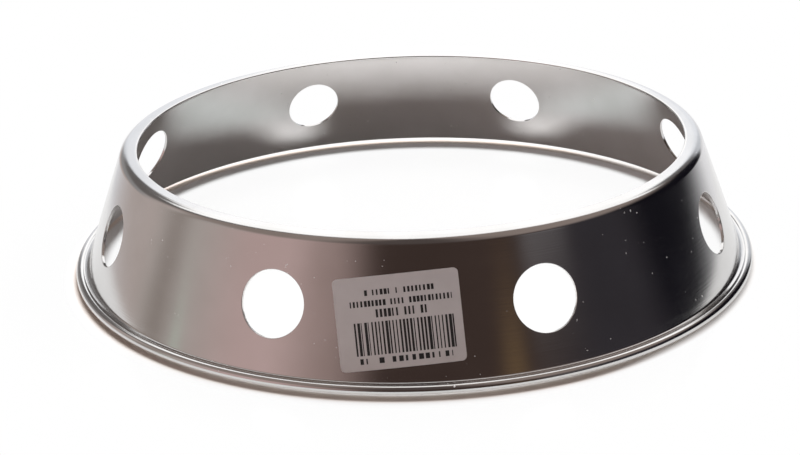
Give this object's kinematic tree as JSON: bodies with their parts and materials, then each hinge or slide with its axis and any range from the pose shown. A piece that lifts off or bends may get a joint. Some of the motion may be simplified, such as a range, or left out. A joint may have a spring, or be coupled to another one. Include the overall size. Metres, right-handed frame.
{
  "type": "wok ring",
  "caption": "Conical pressed-steel ring with a turned-in lip, a rolled foot bead and round vent holes, which steadies a round-bottomed pan over a burner.",
  "frame": {"origin": "centre of the ring, at the level that its foot bead stands on", "axes": "+Z along the ring's axis, from the wide foot up to the lip; -Y towards the label at the front"},
  "size_m": [0.254, 0.254, 0.045],
  "materials": {
    "plated_steel": "satin chrome plating over pressed steel",
    "label_paper": "matt coated paper, stuck on"
  },
  "bodies": {
    "root": {"wok_ring": "plated_steel", "label": "label_paper"}
  },
  "joints": []
}
